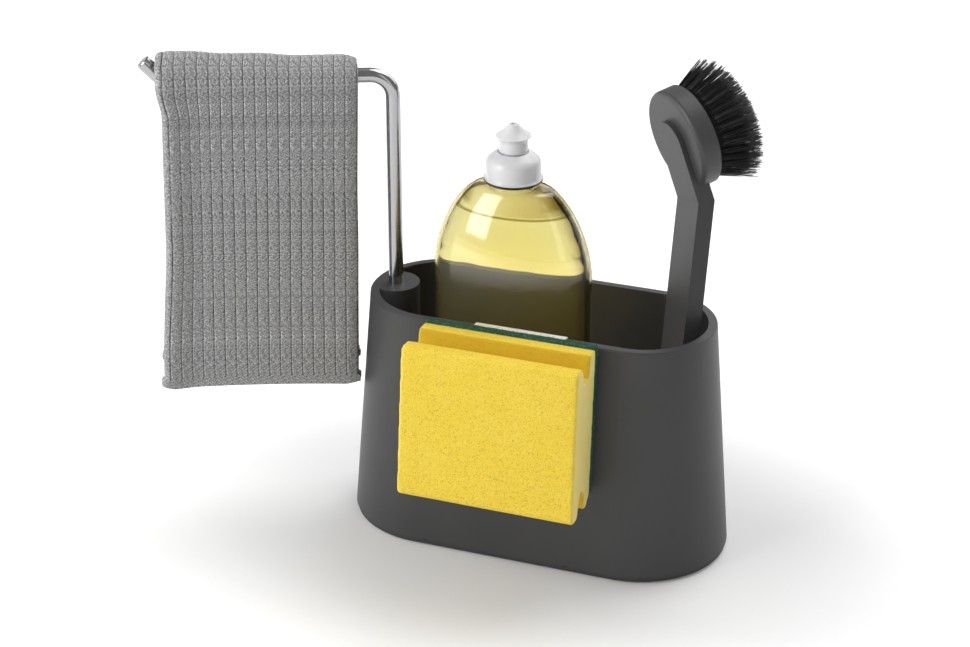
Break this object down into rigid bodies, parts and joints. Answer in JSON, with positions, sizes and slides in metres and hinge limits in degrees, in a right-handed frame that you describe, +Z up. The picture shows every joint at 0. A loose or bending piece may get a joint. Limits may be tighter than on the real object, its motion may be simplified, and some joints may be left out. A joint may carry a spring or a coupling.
{
  "type": "kitchen sink caddy",
  "caption": "Oval countertop tub holding a soap bottle and dish brush, with a swivelling towel rod and a sponge hooked over its front wall.",
  "frame": {"origin": "centre of the underside of the foot pad, on the counter", "axes": "+X along the tub from the towel rod to the brush, -Y towards the sponge side, +Z up"},
  "size_m": [0.3153, 0.1668, 0.2679],
  "materials": {
    "tub_plastic": "fine satin moulded",
    "tray_plastic": "satin moulded",
    "pad_rubber": "matt",
    "bearing_plastic": "natural",
    "clip_plastic": "gloss",
    "grip_tape": "hook tape",
    "rod_steel": "polished along its length",
    "spring_steel": "plain",
    "cloth_knit": "ribbed melange knit",
    "foam": "fine open-cell foam",
    "scourer": "matted abrasive fibre",
    "brush_plastic": "satin moulded",
    "bristle_black": "drawn filament",
    "bottle_clear": "clear gloss",
    "soap": "clear yellow-green liquid",
    "cap_white": "gloss"
  },
  "bodies": {
    "root": {"tub": "tub_plastic", "base_tray": "tray_plastic", "foot_pad": "pad_rubber", "rod_sleeve": "bearing_plastic", "thrust_pad": "bearing_plastic", "sponge_clip": "clip_plastic", "clip_grip_pad": "grip_tape"},
    "arm": {"towel_rod": "rod_steel", "rod_retaining_ring": "spring_steel"},
    "hanging_cloth": {"cloth": "cloth_knit"},
    "sponge": {"sponge_foam": "foam", "sponge_scourer": "scourer"},
    "brush": {"brush_handle": "brush_plastic", "tuft_plate": "bristle_black", "brush_bristles": "bristle_black"},
    "bottle": {"bottle_shell": "bottle_clear", "dish_soap": "soap"},
    "seal": {"cap_seal": "bearing_plastic"},
    "cap": {"bottle_cap": "cap_white"},
    "push_spout": {"spout": "cap_white"}
  },
  "joints": [
    {"name": "arm_swivel", "type": "hinge", "parent": "root", "child": "arm", "pos_m": [-0.0847, 0, 0.134], "axis": [0, 0, 1], "range_deg": [-50, 4]},
    {"name": "cloth_lift", "type": "slide", "parent": "arm", "child": "hanging_cloth", "axis": [0, 0, 1], "range_m": [0, 0.2]},
    {"name": "sponge_pull", "type": "slide", "parent": "root", "child": "sponge", "axis": [0, -0.9968, 0.0796], "range_m": [0, 0.06]},
    {"name": "brush_lift", "type": "slide", "parent": "root", "child": "brush", "axis": [-0.0105, 0.3005, 0.9537], "range_m": [0, 0.2]},
    {"name": "bottle_lift", "type": "slide", "parent": "root", "child": "bottle", "axis": [0, 0, 1], "range_m": [0, 0.15]},
    {"name": "cap_rise", "type": "slide", "parent": "bottle", "child": "seal", "axis": [0, 0, 1], "range_m": [0, 0.003]},
    {"name": "cap_turn", "type": "hinge", "parent": "seal", "child": "cap", "pos_m": [-0.0167, 0, 0.21], "axis": [0, 0, 1], "range_deg": [0, 360]},
    {"name": "spout_pull", "type": "slide", "parent": "cap", "child": "push_spout", "axis": [0, 0, 1], "range_m": [0, 0.005]}
  ],
  "couplings": [
    {"joint": "cap_rise", "follows": "cap_turn", "m_per_rad": 0.00047746}
  ]
}
